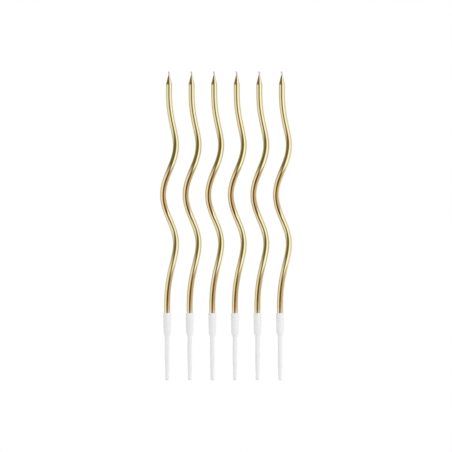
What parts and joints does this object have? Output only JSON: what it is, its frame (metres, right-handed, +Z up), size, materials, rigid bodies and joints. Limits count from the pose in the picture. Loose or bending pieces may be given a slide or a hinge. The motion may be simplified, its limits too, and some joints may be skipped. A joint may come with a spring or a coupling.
{
  "type": "spiral birthday candle",
  "caption": "Row of thin metallic gold wax candles, each wound in a gentle spiral with a pointed tip and wick, standing in a white push-in holder with a socket and a pick.",
  "frame": {"origin": "below the middle of the row, level with the tips of the picks", "axes": "+Z up along the candles, +X along the row to the viewer's right, +Y from the viewer into the row"},
  "size_m": [0.0794, 0.0118, 0.1853],
  "materials": {
    "gold_wax": "paraffin wax under glossy metallic gold lacquer",
    "cotton": "braided cotton, waxed",
    "white_plastic": "moulded polypropylene, satin gloss"
  },
  "bodies": {
    "holder_1": {"holder_1": "white_plastic"},
    "candle_1": {"candle_1": "gold_wax", "wick_1": "cotton"},
    "holder_2": {"holder_2": "white_plastic"},
    "candle_2": {"candle_2": "gold_wax", "wick_2": "cotton"},
    "holder_3": {"holder_3": "white_plastic"},
    "candle_3": {"candle_3": "gold_wax", "wick_3": "cotton"},
    "holder_4": {"holder_4": "white_plastic"},
    "candle_4": {"candle_4": "gold_wax", "wick_4": "cotton"},
    "holder_5": {"holder_5": "white_plastic"},
    "candle_5": {"candle_5": "gold_wax", "wick_5": "cotton"},
    "holder_6": {"holder_6": "white_plastic"},
    "candle_6": {"candle_6": "gold_wax", "wick_6": "cotton"}
  },
  "joints": [
    {"name": "candle_1_pull", "type": "slide", "parent": "holder_1", "child": "candle_1", "axis": [0, 0, 1], "range_m": [0, 0.012]},
    {"name": "candle_2_pull", "type": "slide", "parent": "holder_2", "child": "candle_2", "axis": [0, 0, 1], "range_m": [0, 0.012]},
    {"name": "candle_3_pull", "type": "slide", "parent": "holder_3", "child": "candle_3", "axis": [0, 0, 1], "range_m": [0, 0.012]},
    {"name": "candle_4_pull", "type": "slide", "parent": "holder_4", "child": "candle_4", "axis": [0, 0, 1], "range_m": [0, 0.012]},
    {"name": "candle_5_pull", "type": "slide", "parent": "holder_5", "child": "candle_5", "axis": [0, 0, 1], "range_m": [0, 0.012]},
    {"name": "candle_6_pull", "type": "slide", "parent": "holder_6", "child": "candle_6", "axis": [0, 0, 1], "range_m": [0, 0.012]},
    {"name": "holder_2_lift", "type": "slide", "parent": "holder_1", "child": "holder_2", "axis": [0, 0, 1], "range_m": [0, 0.03]},
    {"name": "holder_3_lift", "type": "slide", "parent": "holder_1", "child": "holder_3", "axis": [0, 0, 1], "range_m": [0, 0.03]},
    {"name": "holder_4_lift", "type": "slide", "parent": "holder_1", "child": "holder_4", "axis": [0, 0, 1], "range_m": [0, 0.03]},
    {"name": "holder_5_lift", "type": "slide", "parent": "holder_1", "child": "holder_5", "axis": [0, 0, 1], "range_m": [0, 0.03]},
    {"name": "holder_6_lift", "type": "slide", "parent": "holder_1", "child": "holder_6", "axis": [0, 0, 1], "range_m": [0, 0.03]}
  ]
}
